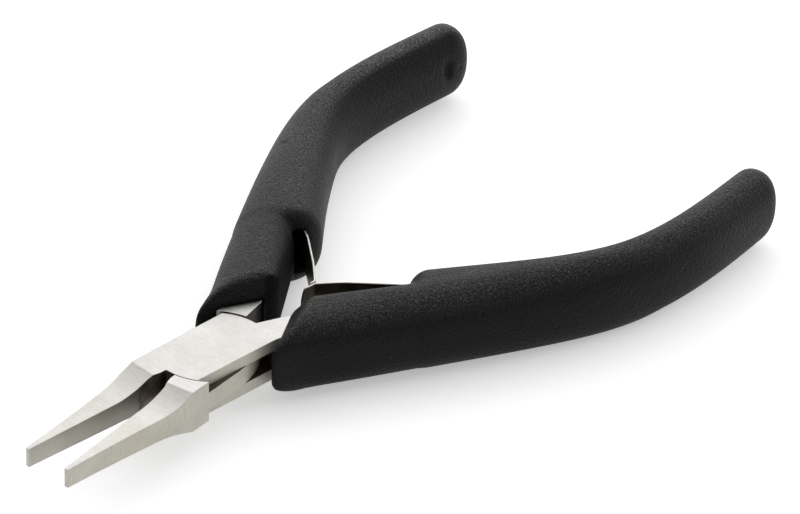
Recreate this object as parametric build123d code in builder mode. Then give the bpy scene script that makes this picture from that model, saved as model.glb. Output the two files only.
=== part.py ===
"""Flat nose pliers with a box joint, foam grips and a pair of return leaf springs.

Millimetres, +Z up. The origin is on the pivot axis, on the flat underside of the
joint. +X points to the jaw tips, +Y to the grip of the box half.

Each half is drawn with the pliers closed, its gripping face on the line y = 0,
and is then turned about the pivot to its open, sprung position. The handle of the
box half lies on the +Y side and its jaw on the -Y side. The inner half is crossed
through it the other way.
"""
from build123d import *
import math
import os

# ---------------------------------------------------------------- driving dimensions
OPEN_ANGLE = 11.4          # degrees between the two gripping faces at rest
JOINT_THICKNESS = 7.3      # over both cheeks, and of both jaws at their roots
NECK_THICKNESS = 3.2       # of the inner half where it runs through the box
SLIDE_GAP = 0.03           # between each flat of the neck and its cheek
CHEEK_RADIUS = 9.55        # round ends of the cheeks, about the pivot
NECK_RADIUS = 9.5          # round ends of the neck, about the pivot
SEAM_GAP = 0.15            # between the end of a cheek and the inner half
REAR_SEAM_SHIFT = 0.4      # the seam behind the cheeks is this much wider
SLOT_RADIUS = 9.8          # of the slot that the neck turns in
CHEEK_FRONT_Y = 5.4        # where the round front end of a cheek meets its long side
CHEEK_REAR_Y = (0.35, 5.95)              # the two ends of the round behind a cheek
BOX_TANG_START = (-8.5, 5.1)
NECK_FLUSH_END = (0.5, 5.65)             # where a neck's side leaves the box's side
NECK_END_Y = 3.05          # where it meets the round end
NECK_REAR_Y = 0.75         # the other end of that round, behind the pivot
INNER_TANG_START = (-8.2, -5.4)
RIVET_RADIUS = 2.5
RIVET_FIT = 0.04           # radial running clearance of the neck on its rivet

TIP_X = 37.6               # from the pivot to the end of the jaws
JAW_GAP = 0.01             # from each gripping face to the centre line when closed
TIP_WIDTH = 0.64           # of one jaw at its tip, across the gripping faces
TIP_HEIGHT = 3.28          # of the jaws at their tips
SCALLOP_START_X = 12.0     # crease where the jaws start to thin towards the tips
SCALLOP_END_X = 19.5       # where the ground scallop runs out into the flat taper
SCALLOP_END_HEIGHT = 3.86
FACE_END_X = 19.6          # rear end of the gripping faces
THROAT = [(12.9, 0.42), (10.8, 0.01)]    # shallow hollow behind the gripping faces
JAW_TAPER_MIDDLE = (26.5, 2.6)           # on the outside of a jaw
JAW_SHOULDER = (15.0, 4.98)
JAW_FLANK = (12.5, 5.2)
JAW_ROOT = (8.0, 5.4)

TAPER_START_X = -7.6       # behind it the tangs get slowly thinner
TANG_END_X = -88.0
TANG_END_HEIGHT = 4.4

LEAF_THICKNESS = 0.45
LEAF_WIDTH = 6.8
LEAF_BEND_RADIUS = 1.0
LEAF_SEAT_GAP = 0.02       # between a leaf's root and its tang
SPRING_RIVET_RADIUS = 1.1
SPRING_RIVET_DEPTH = 2.6   # into the tang
SPRING_HEAD_RADIUS = 1.9
SPRING_HEAD_HEIGHT = 0.7

GRIP_EXPONENT = 2.3        # of the super-ellipse that every grip section is
GRIP_POINTS = 16           # points round one section
GRIP_CAP = 4.5             # length of the rounded end
GRIP_CUT_HEIGHT = 16.0     # more than any grip's height
POCKET_CLEARANCE = 0.3     # above and below a leaf in its pocket

MID_Z = JOINT_THICKNESS / 2
HALF_OPEN = OPEN_ANGLE / 2

# A handle's centre line on the closed plan: distance along X and out from the
# centre line, then half the width and half the height of the grip there.
HANDLE_STATIONS = [
    (-6.0, -0.8, 7.0, 6.3),
    (-18.1, 4.5, 7.3, 6.55),
    (-32.5, 11.6, 6.75, 6.75),
    (-50.3, 21.0, 4.8, 6.85),
    (-64.5, 26.1, 3.9, 6.8),
    (-78.0, 26.4, 4.0, 6.55),
    (-95.4, 23.6, 3.9, 6.3),
]

# A tang's outside and inside behind the joint, then the straight inner face between.
TANG_OUTSIDE = [(-18.0, 9.3), (-32.8, 16.2), (-48.6, 23.8), (-63.1, 28.2), (-75.2, 28.7),
                (TANG_END_X, 26.7)]
TANG_INSIDE = [(-60.5, 22.5), (-72.8, 24.8), (TANG_END_X, 23.3)]
TANG_FACE = ((-14.9, 1.4), (-47.9, 16.8))
FACE_SLOPE = math.atan2(TANG_FACE[1][1] - TANG_FACE[0][1], TANG_FACE[0][0] - TANG_FACE[1][0])

# A leaf's root along that face, then its bends on the closed plan.
LEAF_ROOT_X = -44.4
LEAF_BEND_X = -38.6
LEAF_MOUTH = (-34.1, 7.0)
LEAF_MIDDLE = (-27.7, 0.5)
LEAF_CONTACT = (-24.1, -2.1)
LEAF_TIP = (-21.9, -1.9)
SPRING_RIVET_X = -41.8

GRIP_FRONT = ((-14.9, 1.4), (-6.4, 6.9))
GRIP_RECESS = [(-11.8, -2.1), (-33.8, 8.4), (-37.3, 5.8), (-30.0, -6.0)]
POCKET_DEPTH = 1.9         # of the pocket round a leaf's root, from the tang's face
POCKET_ROOT_X = -45.2
POCKET_MOUTH = [(-36.0, 11.6), (-33.2, 8.6), (-35.6, 6.8), (-39.4, 10.7)]

box_plane = Plane.XY.rotated((0, 0, -HALF_OPEN))
inner_plane = Plane.XY.rotated((0, 0, HALF_OPEN))


# ---------------------------------------------------------------- shared shapes
def mirrored(points, side):
    """The points of a plan outline, for the handle or jaw on this side of y = 0."""
    return [(x, side * y) for x, y in points]


def on_circle(radius, y):
    """The point of a circle about the pivot at this y, in front of the pivot."""
    return math.sqrt(radius ** 2 - y ** 2), y


def on_rear_circle(radius, y):
    """The point of a circle about the pivot at this y, behind the pivot."""
    return -math.sqrt(radius ** 2 - y ** 2), y


def tang_face_y(x):
    """How far a tang's inner face is from the centre line."""
    (x0, y0), (x1, y1) = TANG_FACE
    return y0 + (y1 - y0) * (x - x0) / (x1 - x0)


def side_plane(half_plane):
    """The plane of a half's side view: its x along the jaw, its y up."""
    return Plane(origin=(0, 0, MID_Z), x_dir=half_plane.x_dir, z_dir=-half_plane.y_dir)


def jaw_inner_line(side, end):
    """From the tip back along the gripping face and the shallow throat to the box."""
    face_y = side * JAW_GAP
    return Polyline((TIP_X, face_y), (FACE_END_X, face_y), *mirrored(THROAT, side), end)


def jaw_outer_line(side, end):
    """From the tip back along the outside of the jaw to the joint."""
    outline = [(TIP_X, JAW_GAP + TIP_WIDTH), JAW_TAPER_MIDDLE, JAW_SHOULDER, JAW_FLANK]
    tip, middle, shoulder, flank = mirrored(outline, side)
    taper = ThreePointArc(tip, middle, shoulder)
    return taper, Spline(shoulder, flank, end, tangents=[taper % 1, Vector(-1, side * 0.05)])


def tang_outer_line(side, start):
    """The outside of a tang, from the joint back to its end inside the grip."""
    points = mirrored(TANG_OUTSIDE, side)
    return Spline(start, *points, tangents=[(-1, side * 0.06), (-1, side * -0.15)])


def tang_inner_line(side, corner):
    """The inside of a tang, from its end forward to the corner behind the joint."""
    front, rear = mirrored(TANG_FACE, side)
    points = mirrored(TANG_INSIDE, side)
    slope = Vector(rear) - Vector(front)
    Line(corner, front)
    Line(front, rear)
    return Spline(rear, *points, tangents=[slope, (-1, side * -0.15)])


def half_profile(plane):
    """Side view of a half: thick at the joint, scalloped down to thin flat jaws."""
    root = JOINT_THICKNESS / 2
    shelf = SCALLOP_END_HEIGHT / 2
    tip = TIP_HEIGHT / 2
    tang = TANG_END_HEIGHT / 2
    reach = TIP_X + 1
    with BuildSketch(plane) as profile:
        with BuildLine():
            for up in (1, -1):
                crease = (SCALLOP_START_X, up * root)
                shelf_start = (SCALLOP_END_X, up * shelf)
                Line((TANG_END_X - 1, up * tang), (TAPER_START_X, up * root))
                Line((TAPER_START_X, up * root), crease)
                TangentArc(shelf_start, crease, tangent=(-1, 0))
                Line(shelf_start, (reach, up * tip))
            Line((TANG_END_X - 1, -tang), (TANG_END_X - 1, tang))
            Line((reach, -tip), (reach, tip))
        make_face()
    return profile.sketch


def handle_line(side):
    """The centre line of a handle."""
    return Spline(*mirrored([station[:2] for station in HANDLE_STATIONS], side))


def grip_sections(half_plane, side):
    """Plane, half width and half height of each section along a grip, then of its cap."""
    line = handle_line(side)
    body = []
    for x, y, half_width, half_height in HANDLE_STATIONS:
        centre = Vector(x, side * y, MID_Z)
        direction = line.tangent_at(line.param_at_point(Vector(x, side * y)))
        body.append((section_plane(half_plane, centre, direction), half_width, half_height))
    cap = [body[-1]]
    for part_of_cap in (0.3, 0.55, 0.75, 0.9, 1.0):
        shrink = max((1 - part_of_cap ** 2.2) ** (1 / 2.2), 0.3)
        ahead = centre + direction * (part_of_cap * GRIP_CAP)
        cap.append((section_plane(half_plane, ahead, direction),
                    shrink * half_width, shrink * half_height))
    return body, cap


def section_plane(half_plane, centre, direction):
    """A plane across a handle, its x in the plan and its y up."""
    origin = half_plane.from_local_coords(centre)
    normal = half_plane.from_local_coords(centre + direction) - origin
    return Plane(origin=origin, x_dir=Vector(0, 0, 1).cross(normal), z_dir=normal)


def grip_blank(sections, ruled):
    """A solid through super-elliptic sections."""
    with BuildPart() as blank:
        for plane, half_width, half_height in sections:
            with BuildSketch(plane):
                with BuildLine():
                    Spline(*super_ellipse(half_width, half_height), periodic=True)
                make_face()
        loft(ruled=ruled)
    return blank.part


def super_ellipse(half_width, half_height):
    """Points round one section of a grip."""
    points = []
    for step in range(GRIP_POINTS):
        angle = 2 * math.pi * step / GRIP_POINTS
        c, s = math.cos(angle), math.sin(angle)
        points.append((
            half_width * math.copysign(abs(c) ** (2 / GRIP_EXPONENT), c),
            half_height * math.copysign(abs(s) ** (2 / GRIP_EXPONENT), s),
        ))
    return points


def leaf_points(side):
    """A leaf's middle line on the closed plan, from its root on the tang to its tip."""
    offset = LEAF_SEAT_GAP + LEAF_THICKNESS / 2
    root = (LEAF_ROOT_X, tang_face_y(LEAF_ROOT_X) - offset / math.cos(FACE_SLOPE))
    bend = (LEAF_BEND_X, tang_face_y(LEAF_BEND_X) - offset / math.cos(FACE_SLOPE))
    return mirrored([root, bend, LEAF_MOUTH, LEAF_MIDDLE, LEAF_CONTACT, LEAF_TIP], side)


def spring_rivet_plane(half_plane, side):
    """Plane on a tang's inner face at the spring's rivet, its z towards the other handle."""
    local = Vector(SPRING_RIVET_X, side * tang_face_y(SPRING_RIVET_X), MID_Z)
    inward = Vector(-math.sin(FACE_SLOPE), -side * math.cos(FACE_SLOPE), 0)
    origin = half_plane.from_local_coords(local)
    ahead = half_plane.from_local_coords(local + inward)
    return Plane(origin=origin, x_dir=(0, 0, 1), z_dir=ahead - origin)


# ---------------------------------------------------------------- box half
with BuildPart() as box_envelope:
    with BuildSketch(box_plane):
        with BuildLine():
            near_corner = on_circle(CHEEK_RADIUS, CHEEK_FRONT_Y)
            seam_end = on_circle(CHEEK_RADIUS, -JAW_GAP)
            rear_corner = on_rear_circle(CHEEK_RADIUS, -CHEEK_REAR_Y[0])
            far_corner = on_rear_circle(CHEEK_RADIUS, -CHEEK_REAR_Y[1])
            jaw_inner_line(-1, seam_end)
            RadiusArc(seam_end, near_corner, -CHEEK_RADIUS)
            Line(near_corner, BOX_TANG_START)
            outer = tang_outer_line(1, BOX_TANG_START)
            inner = tang_inner_line(1, rear_corner)
            Line(outer @ 1, inner @ 1)
            RadiusArc(rear_corner, far_corner, -CHEEK_RADIUS)
            taper, flank = jaw_outer_line(-1, *mirrored([JAW_ROOT], -1))
            Line(flank @ 1, far_corner)
            Line(taper @ 0, (TIP_X, -JAW_GAP))
        make_face()
    extrude(amount=JOINT_THICKNESS)
    add(extrude(half_profile(side_plane(box_plane)), amount=60, both=True, mode=Mode.PRIVATE),
        mode=Mode.INTERSECT)

slot_height = NECK_THICKNESS + 2 * SLIDE_GAP
with BuildPart() as box_half:
    add(box_envelope.part)
    with BuildSketch(Plane.XY.offset(MID_Z - slot_height / 2)):
        Circle(SLOT_RADIUS)
    extrude(amount=slot_height, mode=Mode.SUBTRACT)
    with BuildSketch(Plane.XY):
        Circle(RIVET_RADIUS)
    extrude(amount=JOINT_THICKNESS, mode=Mode.SUBTRACT)
    with BuildSketch(spring_rivet_plane(box_plane, 1)):
        Circle(SPRING_RIVET_RADIUS)
    extrude(amount=-SPRING_RIVET_DEPTH, mode=Mode.SUBTRACT)
box_half.part.label = "box_half"


# ---------------------------------------------------------------- inner half
def neck_side(start, end, side):
    """One side of the neck: flush with the joint, then curving in to its round end."""
    straight = Line(start, (side * NECK_FLUSH_END[0], side * NECK_FLUSH_END[1]))
    return TangentArc(straight @ 1, end, tangent=straight % 1)


with BuildPart() as inner_envelope:
    with BuildSketch(inner_plane):
        with BuildLine():
            neck_front = on_circle(NECK_RADIUS, JAW_GAP)
            neck_front_end = on_circle(NECK_RADIUS, -NECK_END_Y)
            neck_rear = on_rear_circle(NECK_RADIUS, -NECK_REAR_Y)
            neck_rear_end = on_rear_circle(NECK_RADIUS, NECK_END_Y)
            jaw_inner_line(1, neck_front)
            RadiusArc(neck_front, neck_front_end, NECK_RADIUS)
            neck_side(INNER_TANG_START, neck_front_end, -1)
            outer = tang_outer_line(-1, INNER_TANG_START)
            inner = tang_inner_line(-1, neck_rear)
            Line(outer @ 1, inner @ 1)
            RadiusArc(neck_rear, neck_rear_end, NECK_RADIUS)
            taper, flank = jaw_outer_line(1, JAW_ROOT)
            neck_side(flank @ 1, neck_rear_end, 1)
            Line(taper @ 0, (TIP_X, JAW_GAP))
        make_face()
    extrude(amount=JOINT_THICKNESS)
    add(extrude(half_profile(side_plane(inner_plane)), amount=60, both=True, mode=Mode.PRIVATE),
        mode=Mode.INTERSECT)

cheek_space = (JOINT_THICKNESS - NECK_THICKNESS) / 2
with BuildPart() as inner_half:
    add(inner_envelope.part)
    for floor in (0, JOINT_THICKNESS - cheek_space):
        with BuildSketch(inner_plane.offset(floor)):
            Circle(CHEEK_RADIUS + SEAM_GAP)
            with Locations((-REAR_SEAM_SHIFT, 0)):
                Circle(CHEEK_RADIUS + SEAM_GAP)
        extrude(amount=cheek_space, mode=Mode.SUBTRACT)
    with BuildSketch(Plane.XY):
        Circle(RIVET_RADIUS + RIVET_FIT)
    extrude(amount=JOINT_THICKNESS, mode=Mode.SUBTRACT)
    with BuildSketch(spring_rivet_plane(inner_plane, -1)):
        Circle(SPRING_RIVET_RADIUS)
    extrude(amount=-SPRING_RIVET_DEPTH, mode=Mode.SUBTRACT)
inner_half.part.label = "inner_half"

# ---------------------------------------------------------------- joint rivet
with BuildPart() as joint_rivet:
    with BuildSketch(Plane.XY):
        Circle(RIVET_RADIUS)
    extrude(amount=JOINT_THICKNESS)
joint_rivet.part.label = "joint_rivet"


# ---------------------------------------------------------------- springs and grips
def make_leaf(name, half_plane, side):
    """A bent strip of spring steel, seated on the inner face of a tang."""
    with BuildPart() as leaf:
        with BuildSketch(half_plane.offset(MID_Z - LEAF_WIDTH / 2)):
            with BuildLine():
                middle = FilletPolyline(*leaf_points(side), radius=LEAF_BEND_RADIUS)
                offset(middle, amount=LEAF_THICKNESS / 2, kind=Kind.INTERSECTION)
            make_face()
        extrude(amount=LEAF_WIDTH)
        with BuildSketch(spring_rivet_plane(half_plane, side)):
            Circle(SPRING_RIVET_RADIUS + RIVET_FIT)
        extrude(amount=LEAF_THICKNESS * 2, mode=Mode.SUBTRACT)
    leaf.part.label = name
    return leaf.part


def make_spring_rivet(name, half_plane, side):
    """The rivet that holds the root of a leaf to its tang."""
    seat = spring_rivet_plane(half_plane, side)
    under_head = LEAF_SEAT_GAP + LEAF_THICKNESS + LEAF_SEAT_GAP
    with BuildPart() as rivet:
        with BuildSketch(seat.offset(-SPRING_RIVET_DEPTH)):
            Circle(SPRING_RIVET_RADIUS)
        extrude(amount=SPRING_RIVET_DEPTH + under_head)
        with BuildSketch(seat.offset(under_head)):
            Circle(SPRING_HEAD_RADIUS)
        extrude(amount=SPRING_HEAD_HEIGHT)
        crown = rivet.faces().sort_by(Axis(seat.origin, seat.z_dir))[-1]
        chamfer(crown.edges(), SPRING_HEAD_HEIGHT / 2)
    rivet.part.label = name
    return rivet.part


def make_grip(name, half_plane, side, envelope):
    """A foam sleeve with a hollow for its tang, cut back where the leaf lies."""
    body, cap = grip_sections(half_plane, side)
    with BuildPart() as grip:
        add(grip_blank(body, ruled=False))
        add(grip_blank(cap, ruled=True))
        (front_x, front_y), (back_x, back_y) = GRIP_FRONT[1], GRIP_FRONT[0]
        run_x, run_y = front_x - back_x, front_y - back_y
        ahead = [(back_x - run_x, back_y - run_y), (front_x + run_x, front_y + run_y),
                 (front_x + 3 * run_x, front_y - 2 * run_y), (back_x + run_x, back_y - 3 * run_y)]
        for outline in (ahead, GRIP_RECESS):
            with BuildSketch(half_plane.offset(MID_Z - GRIP_CUT_HEIGHT / 2)):
                with BuildLine():
                    Polyline(*mirrored(outline, side), close=True)
                make_face()
            extrude(amount=GRIP_CUT_HEIGHT, mode=Mode.SUBTRACT)
        pocket_height = LEAF_WIDTH + 2 * POCKET_CLEARANCE
        root_y = tang_face_y(POCKET_ROOT_X)
        pocket = [(POCKET_ROOT_X, root_y + POCKET_CLEARANCE), *POCKET_MOUTH,
                  (POCKET_ROOT_X - POCKET_DEPTH * math.sin(FACE_SLOPE),
                   root_y - POCKET_DEPTH * math.cos(FACE_SLOPE))]
        with BuildSketch(half_plane.offset(MID_Z - pocket_height / 2)):
            with BuildLine():
                Polyline(*mirrored(pocket, side), close=True)
            make_face()
        extrude(amount=pocket_height, mode=Mode.SUBTRACT)
        add(envelope, mode=Mode.SUBTRACT)
    grip.part.label = name
    return grip.part


pieces = [box_half.part, inner_half.part, joint_rivet.part]
for half, plane, side, envelope in (
    ("box", box_plane, 1, box_envelope.part),
    ("inner", inner_plane, -1, inner_envelope.part),
):
    pieces.append(make_leaf(f"{half}_leaf_spring", plane, side))
    pieces.append(make_spring_rivet(f"{half}_spring_rivet", plane, side))
    pieces.append(make_grip(f"{half}_grip", plane, side, envelope))

os.makedirs("parts", exist_ok=True)
for piece in pieces:
    export_step(piece, f"parts/{piece.label}.step")
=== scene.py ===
"""Looks of the flat nose pliers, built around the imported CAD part.

The two forgings and the rivets are the CAD solids, which get their materials here. The
foam grips and the leaf springs are meshes that stand for their CAD nodes. Plan curves
are in mm on the closed plan of the box half; at_rest turns them to the pose of the model.
"""
import math

import bpy
import numpy as np
from mathutils import Matrix, Vector


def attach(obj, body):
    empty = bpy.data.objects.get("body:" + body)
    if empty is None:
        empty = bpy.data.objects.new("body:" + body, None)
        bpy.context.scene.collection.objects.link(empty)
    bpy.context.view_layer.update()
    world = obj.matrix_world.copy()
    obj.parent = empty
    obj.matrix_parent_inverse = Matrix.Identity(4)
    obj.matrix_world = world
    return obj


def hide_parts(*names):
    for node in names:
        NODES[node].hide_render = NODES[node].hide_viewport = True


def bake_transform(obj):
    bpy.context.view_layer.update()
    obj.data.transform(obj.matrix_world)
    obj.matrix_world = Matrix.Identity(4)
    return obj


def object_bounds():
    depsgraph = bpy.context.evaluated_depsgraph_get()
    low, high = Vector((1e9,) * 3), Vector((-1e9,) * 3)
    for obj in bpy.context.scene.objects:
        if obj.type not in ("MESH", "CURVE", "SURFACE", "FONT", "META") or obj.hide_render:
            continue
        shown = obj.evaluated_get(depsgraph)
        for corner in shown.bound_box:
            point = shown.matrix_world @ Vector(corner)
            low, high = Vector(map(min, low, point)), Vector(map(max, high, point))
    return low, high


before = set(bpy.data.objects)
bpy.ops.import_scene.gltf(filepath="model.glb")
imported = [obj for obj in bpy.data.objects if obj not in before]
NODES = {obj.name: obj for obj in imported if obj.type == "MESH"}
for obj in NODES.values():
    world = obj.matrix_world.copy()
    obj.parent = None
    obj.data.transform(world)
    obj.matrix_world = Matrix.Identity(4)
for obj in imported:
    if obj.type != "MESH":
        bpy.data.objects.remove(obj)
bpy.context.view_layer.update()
MM = 0.001
MID_Z = 3.65                    # half way up the joint, mm
HALF_OPEN = math.radians(5.7)   # each half is turned this far from closed

# ---------------------------------------------------------------- camera and studio
def link(obj):
    """Put an object in the scene, and hand it back."""
    bpy.context.scene.collection.objects.link(obj)
    return obj


def add_camera():
    """The photograph's view: a long lens beyond the jaw tips, on the side of the box half's
    grip, looking down at 33 degrees."""
    azimuth, elevation, roll = (math.radians(a) for a in (130.3845, 33.4187, 1.24188))
    aim = Vector((-27.994, 14.157, 16.754)) * MM
    back = Vector((math.sin(azimuth) * math.cos(elevation),
                   -math.cos(azimuth) * math.cos(elevation), math.sin(elevation)))
    right = Vector((math.cos(azimuth), math.sin(azimuth), 0))
    up = back.cross(right)
    x_axis = math.cos(roll) * right + math.sin(roll) * up
    y_axis = math.cos(roll) * up - math.sin(roll) * right
    data = bpy.data.cameras.new("camera")
    data.lens = 316.842
    data.sensor_width = 36
    data.clip_start = 0.05
    data.clip_end = 20
    camera = link(bpy.data.objects.new("camera", data))
    place = Matrix((x_axis, y_axis, back)).transposed().to_4x4()
    place.translation = aim + 1100.325 * MM * back
    camera.matrix_world = place
    bpy.context.scene.camera = camera


WALL_DIRECTION = (-0.72, -0.61, 0.33)
# The studio's light by direction, from opposite the wall (0) to the wall itself (1).
STUDIO_LIGHT = [(0.2, 0.28), (0.58, 0.56), (0.79, 1.1), (0.92, 1.6), (0.985, 1.95)]


def add_area(name, location, target, size, power):
    """A rectangular lamp that points at the target."""
    data = bpy.data.lights.new(name, "AREA")
    data.shape = "RECTANGLE"
    data.size, data.size_y = size
    data.energy = power
    light = link(bpy.data.objects.new(name, data))
    light.location = location
    facing = Vector(target) - Vector(location)
    light.rotation_euler = facing.to_track_quat("-Z", "Y").to_euler()
    light.visible_camera = False


def add_world():
    """A pale studio: a bright wall low behind the object, a dim ceiling and a dimmer front."""
    world = bpy.data.worlds.new("studio")
    world.use_nodes = True
    tree = world.node_tree
    tree.nodes.clear()
    out = tree.nodes.new("ShaderNodeOutputWorld")
    background = tree.nodes.new("ShaderNodeBackground")
    place = tree.nodes.new("ShaderNodeTexCoord")
    dot = tree.nodes.new("ShaderNodeVectorMath")
    dot.operation = "DOT_PRODUCT"
    dot.inputs[1].default_value = Vector(WALL_DIRECTION).normalized()
    unit = tree.nodes.new("ShaderNodeMapRange")
    unit.inputs["From Min"].default_value = -1
    ramp = tree.nodes.new("ShaderNodeValToRGB")
    stops = ramp.color_ramp.elements
    while len(stops) < len(STUDIO_LIGHT):
        stops.new(0.5)
    for stop, (position, level) in zip(stops, STUDIO_LIGHT):
        stop.position = position
        stop.color = (level * 0.99, level * 0.995, level * 1.01, 1)
    tree.links.new(place.outputs["Generated"], dot.inputs[0])
    tree.links.new(dot.outputs["Value"], unit.inputs["Value"])
    tree.links.new(unit.outputs["Result"], ramp.inputs["Fac"])
    tree.links.new(ramp.outputs["Color"], background.inputs["Color"])
    background.inputs["Strength"].default_value = 1.0
    tree.links.new(background.outputs["Background"], out.inputs["Surface"])
    bpy.context.scene.world = world


# ---------------------------------------------------------------- material helpers
# Noise scales count per metre: 3400 makes grains of about 0.3 mm.
class Tree:
    """A material's node tree, with short calls to add and join nodes."""

    def __init__(self, name):
        self.material = bpy.data.materials.new(name)
        self.material.use_nodes = True
        self.nodes = self.material.node_tree.nodes
        self.shader = self.nodes["Principled BSDF"]

    def add(self, kind, **settings):
        node = self.nodes.new("ShaderNode" + kind)
        for key, value in settings.items():
            if key in node.inputs:
                self.set(node, key, value)
            else:
                setattr(node, key, value)
        return node

    def set(self, node, key, value):
        if isinstance(value, bpy.types.NodeSocket):
            self.material.node_tree.links.new(value, node.inputs[key])
        else:
            node.inputs[key].default_value = value

    def coords(self, scale, turn=0.0):
        place = self.add("TexCoord")
        mapping = self.add("Mapping")
        self.set(mapping, "Vector", place.outputs["Object"])
        mapping.inputs["Scale"].default_value = scale
        mapping.inputs["Rotation"].default_value = (0, 0, turn)
        mapping.vector_type = "TEXTURE"
        return mapping.outputs["Vector"]

    def noise(self, vector, scale, detail=2.0, roughness=0.5, distortion=0.0):
        node = self.add("TexNoise", Scale=scale, Detail=detail, Roughness=roughness,
                        Distortion=distortion)
        self.set(node, "Vector", vector)
        return node.outputs["Fac"]

    def ramp(self, value, low, high, low_color, high_color):
        node = self.add("ValToRGB")
        first, last = node.color_ramp.elements
        first.position, last.position = low, high
        first.color, last.color = (*low_color, 1), (*high_color, 1)
        self.set(node, "Fac", value)
        return node.outputs["Color"]

    def range(self, value, low, high, to_low, to_high):
        node = self.add("MapRange")
        self.set(node, "Value", value)
        for key, number in zip(("From Min", "From Max", "To Min", "To Max"),
                               (low, high, to_low, to_high)):
            node.inputs[key].default_value = number
        return node.outputs["Result"]

    def math(self, operation, a, b=0.0):
        node = self.add("Math")
        node.operation = operation
        for index, value in enumerate((a, b)):
            self.set(node, index, value)
        return node.outputs["Value"]

    def mix(self, factor, a, b, blend="MIX"):
        node = self.add("Mix")
        node.data_type = "RGBA"
        node.blend_type = blend
        for key, value in (("Factor", factor), ("A", a), ("B", b)):
            socket = [s for s in node.inputs if s.name == key and s.enabled][0]
            if isinstance(value, bpy.types.NodeSocket):
                self.material.node_tree.links.new(value, socket)
            elif key == "Factor":
                socket.default_value = value
            else:
                socket.default_value = (*value, 1)
        return [s for s in node.outputs if s.enabled][0]

    def split(self, vector):
        node = self.add("SeparateXYZ")
        self.set(node, "Vector", vector)
        return [node.outputs[axis] for axis in "XYZ"]

    def object_normal(self, turn):
        """The face's own normal on the axes of a half that stands at this angle."""
        geometry = self.add("NewGeometry")
        local = self.add("VectorTransform")
        local.vector_type = "NORMAL"
        local.convert_from, local.convert_to = "WORLD", "OBJECT"
        self.set(local, "Vector", geometry.outputs["True Normal"])
        mapping = self.add("Mapping")
        mapping.vector_type = "TEXTURE"
        mapping.inputs["Rotation"].default_value = (0, 0, turn)
        self.set(mapping, "Vector", local.outputs["Vector"])
        return mapping.outputs["Vector"]

    def all_of(self, *masks):
        total = masks[0]
        for mask in masks[1:]:
            total = self.math("MULTIPLY", total, mask)
        return total

    def any_of(self, *masks):
        total = masks[0]
        for mask in masks[1:]:
            total = self.math("MAXIMUM", total, mask)
        return total

    def bump(self, height, strength, distance, normal=None):
        node = self.add("Bump", Strength=strength, Distance=distance)
        self.set(node, "Height", height)
        if normal is not None:
            self.set(node, "Normal", normal)
        return node.outputs["Normal"]


# Limits of the scale on a half, in metres from the pivot, x along the closed tool.
BOX_RADIUS = 0.0099         # inside the box joint
BOX_HALF_HEIGHT = 0.00165   # between the cheeks
THROAT = (0.0095, 0.0149)   # the relief between the joint and the gripping faces
TANG_START = -0.0088        # a tang's inner face has scale behind this
TANG_SHADE_FADE = (-0.0155, -0.0108)       # painted shade on a tang's inner face where it runs into the grip, full at the first
FACE_SHADE_FADE = (0.015, 0.034)  # painted shade on a gripping face: darkest at its root, lighter at its tip
RIVET_REACH = 0.0035        # no edge is softened here: the rivet is ground flush
EDGE_RADIUS = 0.00013
STEEL_COLORS = ((0.40, 0.392, 0.372), (0.54, 0.53, 0.502))


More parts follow.
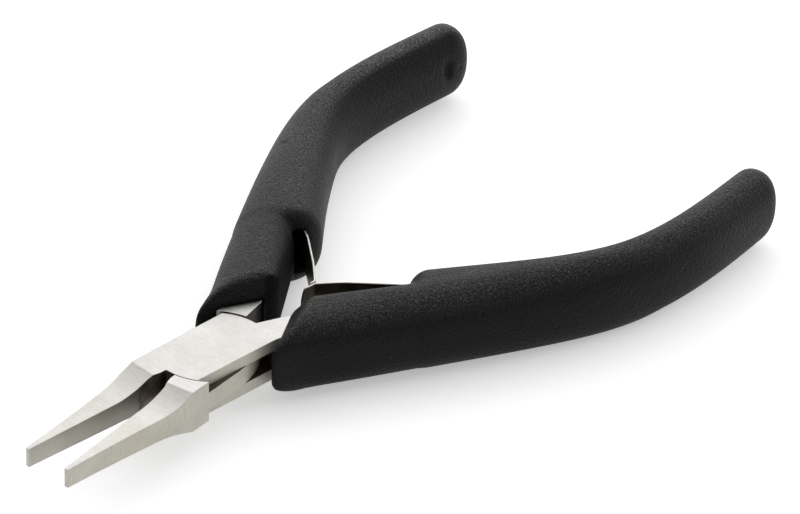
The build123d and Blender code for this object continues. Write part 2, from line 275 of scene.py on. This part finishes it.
def steel_material(name, turn):
    """Brushed stainless steel; the grain runs across the half, whose angle is turn."""
    t = Tree(name)
    fine = t.noise(t.coords((0.012, 0.14, 0.14), turn), 90, detail=4, roughness=0.65)
    place = t.coords((1, 1, 1), turn)
    patches = t.noise(place, 260, detail=3, roughness=0.6)
    clouds = t.noise(place, 70, detail=2)
    x, y, z = t.split(place)
    radius = t.math("SQRT", t.math("ADD", t.math("MULTIPLY", x, x), t.math("MULTIPLY", y, y)))

    color = t.ramp(t.math("ADD", t.math("MULTIPLY", patches, 0.3), t.math("MULTIPLY", fine, 0.7)),
                   0.34, 0.66, *STEEL_COLORS)
    warm = t.ramp(clouds, 0.4, 0.7, (1.0, 1.0, 1.0), (1.0, 0.985, 0.95))
    color = t.mix(1.0, color, warm, "MULTIPLY")
    smooth = t.range(t.math("ADD", fine, clouds), 0.7, 1.3, 0.27, 0.4)

    # The faces that stand upright are ground more coarsely, so they are warmer and rougher.
    normal = t.split(t.object_normal(turn))
    upright = t.range(t.math("ABSOLUTE", normal[2]), 0.2, 0.7, 1.0, 0.0)
    color = t.mix(upright, color, t.mix(1.0, color, (1.0, 0.995, 0.935), "MULTIPLY"))
    smooth = t.math("ADD", smooth, t.math("MULTIPLY", upright, 0.14))

    # These and the scale in the box also scatter light. The gripping faces, the throat and
    # the scale on the tangs don't.
    scale, throat, face = unpolished(t, (x, y, z), radius, turn, patches, normal)
    polished = t.math("SUBTRACT", 1.0, t.any_of(scale, throat, t.math("CEIL", face)))
    matt = t.math("MULTIPLY", upright, polished)
    oxide = t.all_of(scale, t.math("GREATER_THAN", x, -BOX_RADIUS))
    metallic = t.range(t.any_of(matt, oxide), 0.0, 1.0, 1.0, 0.35)
    color = t.mix(matt, color, t.mix(1.0, color, (1.07, 1.065, 1.03), "MULTIPLY"))

    brown = t.ramp(patches, 0.35, 0.7, (0.03, 0.022, 0.016), (0.11, 0.088, 0.068))
    # Painted shade: the scale on a tang's inner face is painted nearly black where it runs into the
    # grip, and is rougher there.
    depth = t.range(x, *TANG_SHADE_FADE, 1.0, 0.0)
    brown = t.mix(depth, brown, (0.003, 0.0025, 0.002))
    smooth = t.math("MAXIMUM", smooth, t.math("MULTIPLY", scale, depth))
    rust = t.ramp(patches, 0.35, 0.7, (0.10, 0.08, 0.062), (0.30, 0.27, 0.23))
    # Painted shade: the gripping faces are painted darker, most at their root by the throat, where
    # the jaws face each other.
    color = t.mix(face, color, (0.13, 0.125, 0.11))
    color = t.mix(throat, t.mix(scale, color, brown), rust)
    t.set(t.shader, "Base Color", color)
    t.set(t.shader, "Metallic", metallic)
    t.set(t.shader, "Roughness", smooth)
    t.shader.inputs["Anisotropic"].default_value = 0.3

    edge = t.add("Bevel", samples=6)
    edge.inputs["Radius"].default_value = EDGE_RADIUS
    plain = t.add("NewGeometry")
    softened = t.add("Mix")
    softened.data_type = "VECTOR"
    for socket, value in ((0, t.math("LESS_THAN", radius, RIVET_REACH)),
                          (4, edge.outputs["Normal"]), (5, plain.outputs["Normal"])):
        t.set(softened, socket, value)
    t.set(t.shader, "Normal", t.bump(fine, 0.2, 0.000016, softened.outputs[1]))
    return t.material


def unpolished(t, place, radius, turn, patches, normal):
    """Where the brown scale of the heat treatment is left: in the box and on the tangs'
    inner faces, then in the throat. Last, how much painted shade a gripping face gets along its
    length."""
    side = 1 if turn > 0 else -1        # of the jaw: +Y for the inner half
    x, _, z = place
    nx, ny, nz = normal
    flat = t.math("ABSOLUTE", nz)
    near_pivot = t.math("LESS_THAN", radius, BOX_RADIUS)
    height = t.math("ABSOLUTE", t.math("SUBTRACT", z, MID_Z * MM))
    in_box = t.all_of(near_pivot, t.math("LESS_THAN", height, BOX_HALF_HEIGHT))
    if side > 0:    # the neck's upright sides are ground, the box's walls are not
        in_box = t.all_of(in_box, t.math("GREATER_THAN", flat, 0.6))
    seam = t.all_of(near_pivot, t.math("LESS_THAN", flat, 0.3),
                    t.math("GREATER_THAN", t.math("ABSOLUTE", nx), 0.6))
    tang = t.all_of(t.math("GREATER_THAN", t.math("MULTIPLY", ny, side), 0.4),
                    t.math("LESS_THAN", x, TANG_START))
    gripping = t.all_of(t.math("GREATER_THAN", t.math("MULTIPLY", ny, -side), 0.5),
                        t.math("GREATER_THAN", x, THROAT[0]))
    ragged = t.math("MULTIPLY", t.math("SUBTRACT", patches, 0.5), 0.0012)
    throat = t.all_of(gripping, t.math("LESS_THAN", t.math("ADD", x, ragged), THROAT[1]))
    # How much painted shade the gripping face gets, most at its root.
    face = t.all_of(gripping, t.range(x, *FACE_SHADE_FADE, 0.6, 0.12))
    return t.any_of(in_box, seam, tang), throat, face


def spring_material():
    """Blued spring steel: dark bronze faces, bright where its edges were sheared."""
    t = Tree("spring_steel")
    place = t.coords((1, 1, 1))
    patches = t.noise(place, 300, detail=3, roughness=0.6)
    streaks = t.noise(t.coords((1.0, 1.0, 0.05)), 900, detail=3)
    face = t.ramp(patches, 0.35, 0.7, (0.07, 0.056, 0.04), (0.14, 0.118, 0.085))
    edge = t.ramp(streaks, 0.35, 0.65, (0.42, 0.40, 0.36), (0.62, 0.60, 0.56))
    upward = t.math("ABSOLUTE", t.split(t.object_normal(0.0))[2])
    t.set(t.shader, "Base Color", t.mix(t.range(upward, 0.45, 0.75, 0.0, 1.0), face, edge))
    t.shader.inputs["Metallic"].default_value = 1
    t.set(t.shader, "Roughness", t.range(streaks, 0.3, 0.7, 0.32, 0.46))
    t.set(t.shader, "Normal", t.bump(streaks, 0.2, 0.00001))
    return t.material


CUT_NORMAL = (0.457, -0.889)    # of the box half's foam where its front is cut, x and y
FRONT_WALL_SHADE = (-0.034, -0.03)    # painted shade on the front walls fades in from first to second


def foam_material(name, side, skin_colors, light_speck_cutoff, painted_light_colors):
    """Matt black foam with a fine leathery skin and a few pits, with painted light in fine specks
    on its upward faces; the front walls that face the other grip are rougher and get painted
    shade. side is +1 for the box half; the lower the speck cutoff, the more specks get painted
    light."""
    t = Tree(name)
    place = t.coords((1, 1, 1))
    skin = t.noise(place, 3400, detail=1.5, roughness=0.5, distortion=0.4)
    cells = t.add("TexVoronoi", Scale=2600.0, feature="SMOOTH_F1")
    t.set(cells, "Vector", place)
    wrinkles = t.noise(place, 700, detail=3, roughness=0.55, distortion=1.2)
    clouds = t.noise(place, 60, detail=3)
    pits = t.add("TexVoronoi", Scale=190.0)
    t.set(pits, "Vector", place)
    pit = t.range(pits.outputs["Distance"], 0.05, 0.11, 1.0, 0.0)
    height = t.math("ADD", t.math("MULTIPLY", skin, 0.8),
                    t.math("MULTIPLY", cells.outputs["Distance"], 0.4))
    height = t.math("ADD", height, t.math("MULTIPLY", wrinkles, 0.3))
    height = t.math("SUBTRACT", height, t.math("MULTIPLY", pit, 0.8))
    color = t.ramp(t.math("ADD", t.math("MULTIPLY", skin, 0.6), t.math("MULTIPLY", clouds, 0.5)),
                   0.35, 0.75, *skin_colors)
    x = t.split(place)[0]
    nx, ny, nz = t.split(t.object_normal(0.0))
    cut_face = t.math("ADD", t.math("MULTIPLY", nx, CUT_NORMAL[0]),
                      t.math("MULTIPLY", ny, CUT_NORMAL[1] * side))
    grains = t.noise(place, 5200, detail=2, roughness=0.6)
    # Painted light: upward faces, away from the cut front, get light specks, brighter toward the
    # grip's end.
    painted_top_light = t.all_of(t.range(nz, 0.35, 1.0, 0.0, 1.0), t.range(cut_face, 0.3, 0.55, 1.0, 0.0),
                      t.range(grains, light_speck_cutoff, 0.68, 0.05, 1.0))
    # Painted shade: the front walls that face the other grip are painted nearly black, and made
    # rougher.
    painted_wall_shade = t.all_of(t.range(x, *FRONT_WALL_SHADE, 0.0, 1.0),
                          t.range(t.math("MULTIPLY", ny, -side), 0.3, 0.9, 0.0, 1.0),
                          t.range(nx, 0.0, 0.4, 1.0, 0.0))
    color = t.mix(painted_wall_shade, color, (0.001, 0.001, 0.001))
    painted_light_color = t.ramp(t.range(x, -0.09, -0.025, 1.0, 0.0), 0.0, 1.0, *painted_light_colors)
    t.set(t.shader, "Base Color", t.mix(painted_top_light, color, painted_light_color))
    t.set(t.shader, "Roughness", t.math("MAXIMUM", t.range(clouds, 0.3, 0.7, 0.46, 0.58),
                                        t.math("MULTIPLY", painted_wall_shade, 0.97)))
    t.shader.inputs["Specular IOR Level"].default_value = 0.15
    t.shader.inputs["Sheen Weight"].default_value = 0.01
    t.shader.inputs["Sheen Roughness"].default_value = 0.35
    t.set(t.shader, "Normal", t.bump(height, 1.0, 0.0003))
    return t.material


def paper_material():
    """White studio paper that glows a little, as painted light, so that its shadows stay light."""
    t = Tree("floor_paper")
    t.shader.inputs["Base Color"].default_value = (0.93, 0.93, 0.93, 1)
    t.shader.inputs["Roughness"].default_value = 0.9
    t.shader.inputs["Specular IOR Level"].default_value = 0.1
    # The paper glows a little: painted light that keeps its shadows light.
    t.shader.inputs["Emission Color"].default_value = (1, 1, 1, 1)
    t.shader.inputs["Emission Strength"].default_value = 0.4
    return t.material


def add_floor():
    """A sheet of paper just under the grips."""
    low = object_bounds()[0][2] - 0.00003
    mesh = bpy.data.meshes.new("floor")
    far = 3.0
    mesh.from_pydata([(-far, -far, low), (far, -far, low), (far, far, low), (-far, far, low)],
                     [], [(0, 1, 2, 3)])
    floor = link(bpy.data.objects.new("floor", mesh))
    mesh.materials.append(paper_material())


# ---------------------------------------------------------------- plan curves, mm
def at_rest(points):
    """Points of the closed plan of the box half, turned to its sprung position."""
    x, y = np.asarray(points, float).T[:2]
    c, s = math.cos(HALF_OPEN), math.sin(HALF_OPEN)
    return np.column_stack((x * c + y * s, y * c - x * s))


def spline(knots, count):
    """A natural cubic spline through the knots, sampled evenly in chord length."""
    knots = np.asarray(knots, float)
    chord = np.concatenate(([0], np.cumsum(np.linalg.norm(np.diff(knots[:, :2], axis=0), axis=1))))
    n = len(knots)
    h = np.diff(chord)
    a = np.zeros((n, n))
    b = np.zeros_like(knots)
    a[0, 0] = a[-1, -1] = 1
    for i in range(1, n - 1):
        a[i, i - 1:i + 2] = h[i - 1], 2 * (h[i - 1] + h[i]), h[i]
        b[i] = 6 * ((knots[i + 1] - knots[i]) / h[i] - (knots[i] - knots[i - 1]) / h[i - 1])
    m = np.linalg.solve(a, b)
    s = np.linspace(0, chord[-1], count)
    i = np.clip(np.searchsorted(chord, s, "right") - 1, 0, n - 2)
    u, v = (s - chord[i])[:, None], (chord[i + 1] - s)[:, None]
    d = h[i][:, None]
    return ((m[i] * v ** 3 + m[i + 1] * u ** 3) / (6 * d)
            + (knots[i] / d - m[i] * d / 6) * v + (knots[i + 1] / d - m[i + 1] * d / 6) * u)


def polygon_distance(points, x, y):
    """Signed distance to a closed plan outline, negative inside."""
    points = np.asarray(points, float)
    best = np.full(x.shape, 1e9)
    inside = np.zeros(x.shape, bool)
    for (x0, y0), (x1, y1) in zip(points, np.roll(points, -1, axis=0)):
        ex, ey = x1 - x0, y1 - y0
        t = np.clip(((x - x0) * ex + (y - y0) * ey) / (ex * ex + ey * ey), 0, 1)
        best = np.minimum(best, np.hypot(x - x0 - t * ex, y - y0 - t * ey))
        crosses = (y0 > y) != (y1 > y)
        if y1 != y0:
            inside ^= crosses & (x < x0 + (y - y0) * ex / (y1 - y0))
    return np.where(inside, -best, best)


def side_of(start, end, x, y):
    """Distance from the line, positive on the right of start to end."""
    (x0, y0), (x1, y1) = start, end
    length = math.hypot(x1 - x0, y1 - y0)
    return ((x - x0) * (y1 - y0) - (y - y0) * (x1 - x0)) / length


# ---------------------------------------------------------------- rounded solids from distances
def both(a, b, radius):
    """What is in both shapes, the edge between them rounded."""
    edge = np.hypot(np.maximum(radius + a, 0), np.maximum(radius + b, 0))
    return np.minimum(-radius, np.maximum(a, b)) + edge


def either(a, b, radius):
    """What is in either shape, the corner between them filled."""
    return -both(-a, -b, radius)


def surface_net(field, origin, step):
    """Vertices and quads of the surface where a sampled field is zero."""
    inside = field < 0
    nx, ny, nz = (n - 1 for n in field.shape)
    corner = [(i, j, k) for i in (0, 1) for j in (0, 1) for k in (0, 1)]
    total = np.zeros((nx, ny, nz), np.int8)
    for i, j, k in corner:
        total += inside[i:i + nx, j:j + ny, k:k + nz]
    cells = np.argwhere((total > 0) & (total < 8))
    number = np.full((nx, ny, nz), -1, np.int64)
    number[tuple(cells.T)] = np.arange(len(cells))
    sums = np.zeros((len(cells), 3))
    hits = np.zeros(len(cells))
    for a in corner:
        for axis in range(3):
            if a[axis]:
                continue
            b = list(a)
            b[axis] = 1
            fa = field[tuple((cells + a).T)]
            fb = field[tuple((cells + b).T)]
            cut = (fa < 0) != (fb < 0)
            t = np.where(cut, fa / np.where(cut, fa - fb, 1), 0)
            point = np.tile(np.array(a, float), (len(cells), 1))
            point[:, axis] = t
            sums += point * cut[:, None]
            hits += cut
    vertices = (cells + sums / hits[:, None]) * step + origin
    quads = []
    for axis in range(3):
        u, v = (axis + 1) % 3, (axis + 2) % 3
        here = [slice(None)] * 3
        there = [slice(None)] * 3
        here[axis], there[axis] = slice(None, -1), slice(1, None)
        start, end = inside[tuple(here)], inside[tuple(there)]
        edges = np.argwhere(start != end)
        edges = edges[(edges[:, u] > 0) & (edges[:, v] > 0) & (edges[:, u] < number.shape[u])
                      & (edges[:, v] < number.shape[v]) & (edges[:, axis] < number.shape[axis])]
        flip = end[tuple(edges.T)]
        du, dv = np.eye(3, dtype=int)[u], np.eye(3, dtype=int)[v]
        ring = [edges, edges - du, edges - du - dv, edges - dv]
        faces = np.column_stack([number[tuple(r.T)] for r in ring])
        faces[flip] = faces[flip][:, ::-1]
        quads.append(faces)
    return vertices, np.concatenate(quads)


def mesh_object(name, vertices, faces, material):
    """A smooth-shaded piece from lists of its vertices, in metres, and faces."""
    mesh = bpy.data.meshes.new(name)
    mesh.from_pydata(vertices, [], faces)
    mesh.update()
    mesh.polygons.foreach_set("use_smooth", [True] * len(mesh.polygons))
    mesh.materials.append(material)
    return link(bpy.data.objects.new(name, mesh))


# ---------------------------------------------------------------- grips
# On the closed plan of the box half: x, y of the handle's centre line, half its width and
# height there, and the power of its super-elliptic section.
HANDLE_STATIONS = [
    (-6.0, -0.8, 6.6, 6.45, 3.2), (-18.1, 4.5, 7.3, 6.7, 3.0), (-32.6, 11.45, 7.1, 6.95, 2.6),
    (-50.45, 20.75, 5.3, 7.0, 2.4), (-64.55, 25.95, 4.15, 6.95, 2.3), (-78.0, 26.4, 4.1, 6.65, 2.3),
    (-95.5, 23.6, 4.0, 6.4, 2.3),
]
CAP_LENGTH = 4.5
TANG_OUTSIDE = [(-8.2, 5.3), (-18.0, 9.3), (-32.8, 16.2), (-48.6, 23.8), (-63.1, 28.2),
                (-75.2, 28.7), (-88.0, 26.7)]
TANG_INSIDE = [(-47.9, 16.8), (-60.5, 22.5), (-72.8, 24.8), (-88.0, 23.3)]
TANG_ROOT = [(-14.9, 1.4), (-9.5, -0.4), (-4, 0), (-4, 5.3)]
# Half the tang's height: the least and the most, and where it starts to lose how much per mm.
TANG_HEIGHTS = (2.2, 3.65)
TANG_TAPER = (-7.6, 1.45 / 80.4)
TANG_GAP = 0.06            # between the tang and the foam
FRONT_LINE = ((-14.9, 1.4), (-6.4, 6.9))
RECESS_LINE = ((-11.8, -2.1), (-33.8, 8.4))
STEP_LINE = ((-33.9, 8.5), (-36.6, 5.5))
POCKET = [(-45.2, 15.85), (-36.2, 11.7), (-32.8, 8.4), (-32.7, 5.6), (-34.3, 6.5), (-38.9, 11.8),
          (-46.0, 13.8)]      # for the root of the leaf spring
POCKET_HALF_HEIGHT = 3.95
# Radii of the foam's edges. Along the recess the radius grows toward the grip's end: where
# that starts and how fast, then the least and the most.
FRONT_ROUND, NOSE_ROUND, STEP_ROUND = 0.7, 1.0, 3.3
CORNER_FILL = 0.6          # in the corner between recess and step
HOLLOW_ROUND, POCKET_ROUND = 0.35, 0.3
RECESS_GROWTH = (-13.5, 0.16)
RECESS_ROUND = (2.3, 4.9)
FLARE = 1.1                # the outer side stands out this much at the cut front
FLARE_LENGTH = 3.2
SWELL_PLACE, SWELL_LENGTH = -57, 10
SAG = 0.25                 # the lower half is this much fuller
NOSE_LEAN = 1.0            # how far the nose leans back above and below the tang
# Of the field that the foam is meshed from. The last is half its height.
GRID_STEP = 0.32
GRID_X, GRID_Y, GRID_Z = (-102.0, -3.0), (-6.0, 41.0), 7.6
LINE_POINTS, LEAD_POINTS = 500, 60      # on the centre line, and straight on ahead of it


def plan_fields(x, y):
    """What depends on the plan alone: the distance from the handle's centre line, the size and
    power of its section there, and the distance beyond its end."""
    knots = np.asarray(HANDLE_STATIONS)
    knots[:, :2] = at_rest(knots)
    line = spline(knots, LINE_POINTS)
    lead = np.outer(np.arange(LEAD_POINTS, 0, -1), line[0, :2] - line[1, :2])
    line = np.vstack((line[0] + np.column_stack((lead, np.zeros((LEAD_POINTS, 3)))), line))
    points = line[:, :2]
    tangent = np.gradient(points, axis=0)
    tangent /= np.linalg.norm(tangent, axis=1)[:, None]
    along = np.concatenate(([0], np.cumsum(np.linalg.norm(np.diff(points, axis=0), axis=1))))
    flat_x, flat_y = x.ravel(), y.ravel()
    index = np.zeros(flat_x.size, int)
    # Only so many points at a time, to spare memory.
    for part in np.array_split(np.arange(flat_x.size), max(flat_x.size // 20000, 1)):
        d = ((flat_x[part, None] - points[:, 0]) ** 2 + (flat_y[part, None] - points[:, 1]) ** 2)
        index[part] = d.argmin(1)
    rx, ry = flat_x - points[index, 0], flat_y - points[index, 1]
    tx, ty = tangent[index, 0], tangent[index, 1]
    s = along[index] + rx * tx + ry * ty
    across = rx * -ty + ry * tx
    sections = [np.interp(s, along, line[:, column]) for column in (2, 3, 4)]
    beyond = np.maximum(s - along[-1], 0)
    return [f.reshape(x.shape) for f in (across, *sections, beyond)]


def grip_field(x, y, z, swell, dents):
    """Distance-like field of a grip, for grid axes in mm, z from the middle of the joint."""
    px, py = np.meshgrid(x, y, indexing="ij")
    front = side_of(*at_rest(FRONT_LINE), px, py)
    recess = -side_of(*at_rest(RECESS_LINE), px, py)
    step = -side_of(*at_rest(STEP_LINE), px, py)
    tang = np.vstack((at_rest(spline(TANG_OUTSIDE, 40)), at_rest(spline(TANG_INSIDE, 24))[::-1],
                      at_rest(TANG_ROOT)))
    tang = polygon_distance(tang, px, py)
    pocket = polygon_distance(at_rest(POCKET), px, py)
    plan = (*plan_fields(px, py), front, recess, step, tang, pocket, px, py)
    (across, half_width, half_height, p, beyond, front, recess, step, tang, pocket, px, py) = (
        f[:, :, None] for f in plan)
    h = np.abs(z)[None, None, :]

    outward = np.clip(0.3 - across / half_width, 0, 1)
    half_width = half_width + outward * FLARE * np.exp(-(front / FLARE_LENGTH) ** 2)
    bulge = np.exp(-((px - SWELL_PLACE) / SWELL_LENGTH) ** 2)
    half_width = half_width + swell * (across > 0) * bulge
    half_height = half_height + SAG * (z < 0)
    size = (np.abs(across / half_width) ** p + (h / half_height) ** p
            + (beyond / CAP_LENGTH) ** p) ** (1 / p)
    radius = np.sqrt(across ** 2 + h ** 2 + beyond ** 2)
    body = radius * (1 - 1 / np.maximum(size, 1e-3))

    bevel = (front + (h - MID_Z) * NOSE_LEAN) / math.hypot(1, NOSE_LEAN)
    body = both(body, both(front, bevel, NOSE_ROUND), FRONT_ROUND)
    start, growth = RECESS_GROWTH
    recess_round = np.clip(RECESS_ROUND[0] - (px - start) * growth, *RECESS_ROUND)
    body = either(both(body, recess, recess_round), both(body, step, STEP_ROUND), CORNER_FILL)

    start, growth = TANG_TAPER
    tang_height = np.clip(TANG_HEIGHTS[1] + (px - start) * growth, *TANG_HEIGHTS)
    body = both(body, TANG_GAP - np.maximum(tang, h - tang_height), HOLLOW_ROUND)
    body = both(body, -np.maximum(pocket, h - POCKET_HALF_HEIGHT), POCKET_ROUND)
    for place, radius, depth, tall in dents:
        away = np.sqrt((px - place[0]) ** 2 + (py - place[1]) ** 2
                       + ((z - place[2]) / tall) ** 2)
        body = body + depth * np.exp(-(away / radius) ** 2)
    return body


def make_grip(name, node, body, material, mirror, swell=0.0, dents=()):
    """The foam sleeve on a tang, which rides on its body. swell widens its inner side; a dent
    is a place in mm, its radius and depth, and how much taller than wide it is."""
    x = np.arange(*GRID_X, GRID_STEP)
    y = np.arange(*GRID_Y, GRID_STEP)
    z = np.arange(-GRID_Z, GRID_Z + GRID_STEP, GRID_STEP)
    z -= z.mean()
    field = grip_field(x, y, z, swell, dents)
    vertices, faces = surface_net(field, np.array((x[0], y[0], z[0])), GRID_STEP)
    vertices[:, 2] += MID_Z
    if mirror:
        vertices[:, 1] *= -1
        faces = faces[:, ::-1]
    grip = mesh_object(name, (vertices * MM).tolist(), faces.tolist(), material)
    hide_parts(node)
    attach(grip, body)


# ---------------------------------------------------------------- leaf springs
LEAF_HALF_THICKNESS = 0.16
LEAF_HALF_WIDTH = 3.75
LEAF_EDGE = 0.07            # chamfer along the edges
LEAF_TIP = 1.0              # the tip is rounded in this length
# At rest, on the side of the box half: root and bend on the tang, mouth, middle, contact, tip.
BOX_LEAF = [(-42.69, 19.31), (-37.19, 16.03), (-33.2, 10.4), (-27.5, 3.25), (-24.0, 0.02),
            (-21.25, -0.36)]
INNER_LEAF = [(-42.69, 19.31), (-37.19, 16.03), (-33.3, 9.75), (-28.3, 4.1), (-24.6, 0.5),
              (-22.9, 0.62)]
LEAF_RADII = [1.0, 12.0, 16.0, 0.8]
CURVE_STEP, STRAIGHT_STEP = 0.12, 0.6   # between points along a strip


def filleted(points, radii):
    """A polyline with its corners rounded, sampled closely."""
    points = [Vector(p) for p in points]
    path = [points[0]]
    for i, radius in enumerate(radii, 1):
        before, here, after = points[i - 1], points[i], points[i + 1]
        a, b = (before - here).normalized(), (after - here).normalized()
        half = a.angle(b) / 2
        cut = min(radius / math.tan(half), 0.48 * (before - here).length,
                  0.48 * (after - here).length)
        start, end = here + a * cut, here + b * cut
        count = max(int(2 * cut / CURVE_STEP), 4)
        for k in range(count + 1):
            t = k / count
            path.append(start.lerp(here, t).lerp(here.lerp(end, t), t))
    path.append(points[-1])
    dense = [path[0]]
    for a, b in zip(path, path[1:]):
        pieces = max(int((b - a).length / STRAIGHT_STEP), 1)
        dense += [a.lerp(b, k / pieces) for k in range(1, pieces + 1)]
    return np.array([tuple(p) for p in dense])


def make_leaf(name, node, points, material, mirror):
    """A strip of spring steel along the points."""
    path = filleted(points, LEAF_RADII)
    if mirror:
        path[:, 1] *= -1
    along = np.concatenate(([0], np.cumsum(np.linalg.norm(np.diff(path, axis=0), axis=1))))
    tip = along[-1] - LEAF_TIP
    # The last row stops just short of the end, so that it keeps a width.
    s = np.concatenate((along[along < tip],
                        along[-1] - LEAF_TIP * (1 - np.linspace(0, 0.985, 12))))
    path = np.column_stack((np.interp(s, along, path[:, 0]), np.interp(s, along, path[:, 1])))
    tangent = np.gradient(path, axis=0)
    tangent /= np.linalg.norm(tangent, axis=1)[:, None]
    normal = np.column_stack((-tangent[:, 1], tangent[:, 0]))
    into_tip = np.clip((s - along[-1] + LEAF_TIP) / LEAF_TIP, 0, 1)
    width = LEAF_HALF_WIDTH * np.sqrt(1 - into_tip ** 2)
    vertices, faces = [], []
    flat = 1 - LEAF_EDGE / LEAF_HALF_THICKNESS      # the share of the thickness not chamfered
    for centre, n, w in zip(path, normal, width):
        low = w - LEAF_EDGE
        for side, high in ((flat, w), (1, low), (1, -low), (flat, -w),
                           (-flat, -w), (-1, -low), (-1, low), (-flat, w)):
            x, y = centre + n * side * LEAF_HALF_THICKNESS
            vertices.append((x * MM, y * MM, (MID_Z + high) * MM))
    for ring in range(len(path) - 1):
        for k in range(8):
            a, b = ring * 8 + k, ring * 8 + (k + 1) % 8
            faces.append((a, b, b + 8, a + 8))
    faces.append(tuple(range(7, -1, -1)))
    faces.append(tuple(range(len(vertices) - 8, len(vertices))))
    leaf = mesh_object(name, vertices, faces, material)
    leaf.data.set_sharp_from_angle(angle=math.radians(35))
    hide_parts(node)
    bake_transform(leaf)


# ---------------------------------------------------------------- build
add_camera()
add_world()
add_area("edge_light", (-0.95, 0.81, 0.8), (-0.03, 0, 0), (0.5, 0.2), 1.6)

box_steel = steel_material("box_steel", -HALF_OPEN)
inner_steel = steel_material("inner_steel", HALF_OPEN)
spring_steel = spring_material()
# The two grips are one foam: the box half's skin colours are painted darker, as painted shade, and
# the inner half gets brighter painted light.
box_foam = foam_material(
    "box_foam", 1, light_speck_cutoff=0.5,
    skin_colors=((0.0013, 0.0013, 0.0014), (0.0042, 0.004, 0.0041)),
    painted_light_colors=((0.118, 0.112, 0.11), (0.135, 0.129, 0.127)))
inner_foam = foam_material(
    "inner_foam", -1, light_speck_cutoff=0.48,
    skin_colors=((0.0024, 0.0023, 0.0024), (0.0056, 0.0053, 0.0055)),
    painted_light_colors=((0.105, 0.099, 0.098), (0.21, 0.2, 0.195)))
for name, node in NODES.items():
    node.data.materials.clear()
    node.data.materials.append(spring_steel if "spring" in name else
                               inner_steel if "inner" in name else box_steel)

make_grip("box_grip_foam", "box_grip", "box_side", box_foam, False)
make_grip("inner_grip_foam", "inner_grip", "inner_side", inner_foam, True, swell=0.8,
          dents=[((-90.44, 29.3, 0.64), 0.75, 1.3, 1.9), ((-47.68, 27.96, 6.8), 0.55, 0.4, 1.0)])

make_leaf("box_leaf_strip", "box_leaf_spring", BOX_LEAF,
          spring_steel, False)
make_leaf("inner_leaf_strip", "inner_leaf_spring", INNER_LEAF,
          spring_steel, True)

bpy.context.scene.view_settings.view_transform = "Standard"
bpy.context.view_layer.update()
add_floor()
